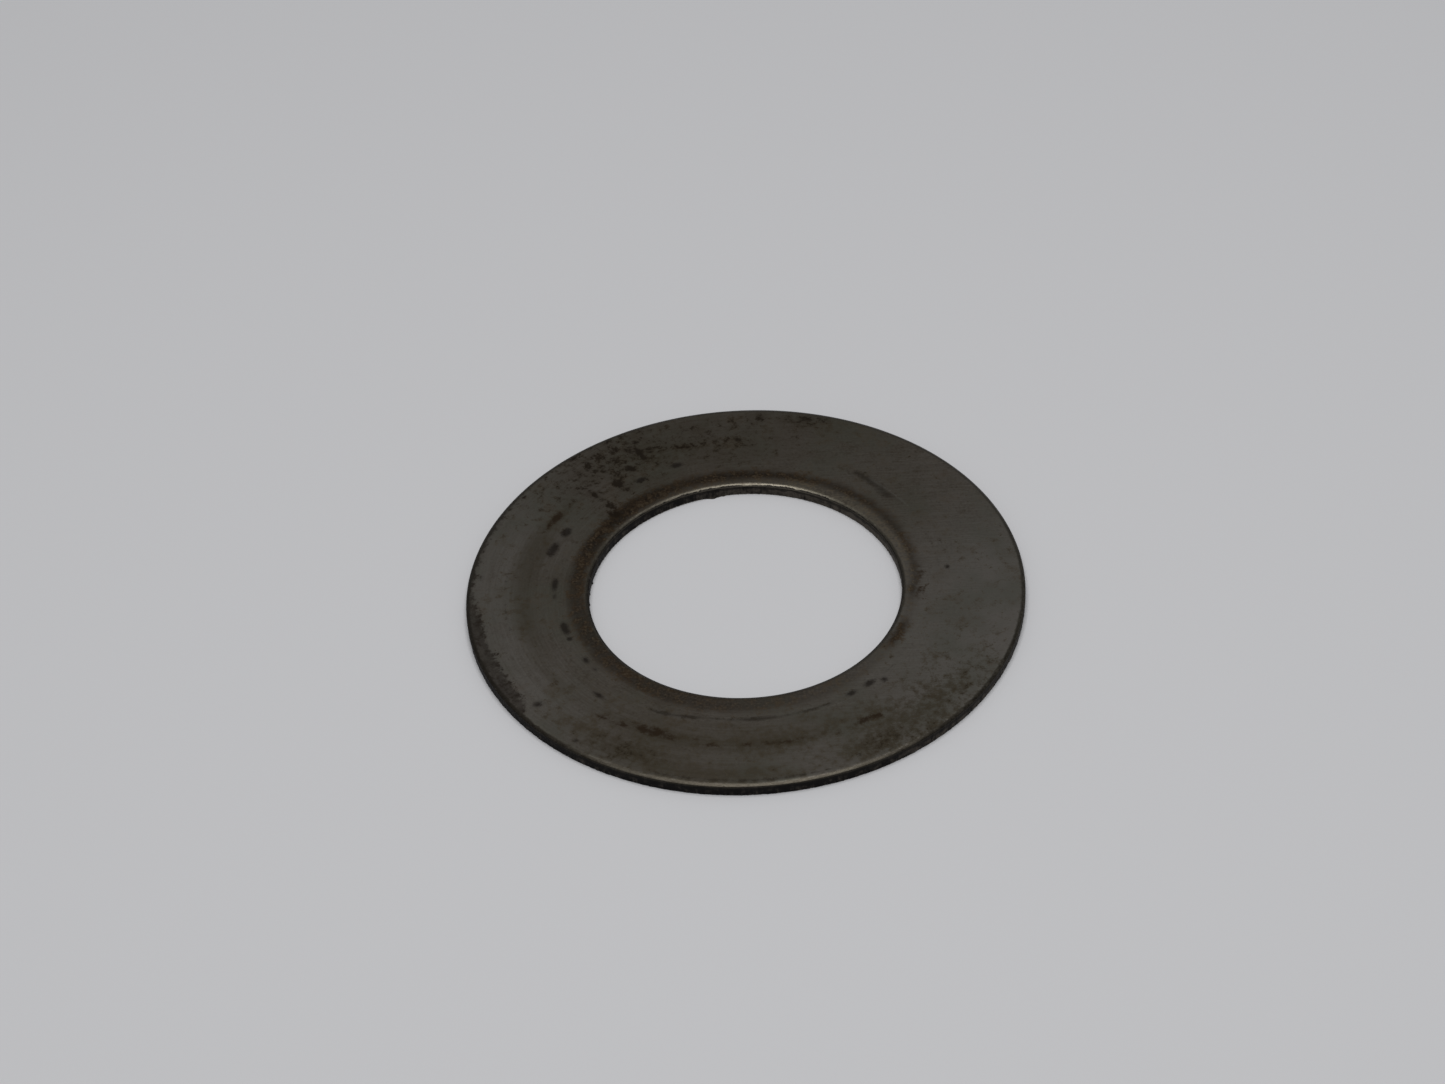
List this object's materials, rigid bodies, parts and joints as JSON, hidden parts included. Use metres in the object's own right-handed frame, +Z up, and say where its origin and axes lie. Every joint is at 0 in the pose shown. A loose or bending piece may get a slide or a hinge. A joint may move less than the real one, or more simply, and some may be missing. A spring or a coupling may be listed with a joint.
{
  "type": "flat washer",
  "caption": "Thin round steel washer with a large central bore, punched from sheet, with rolled top edges and a dark, lightly rusted finish.",
  "frame": {"origin": "on the axis of the bore, at the underside, which is the face the washer rests on", "axes": "+Z up along the axis of the bore, through the die-rolled face; X and Y lie in the plane of the washer, which is round, so they are interchangeable"},
  "size_m": [0.045, 0.045, 0.001],
  "materials": {
    "steel": "dark oil-stained steel, half matt, with brown varnish round the bore, rust flecks and dark oxide spots"
  },
  "bodies": {
    "root": {"flat_washer": "steel"}
  },
  "joints": []
}
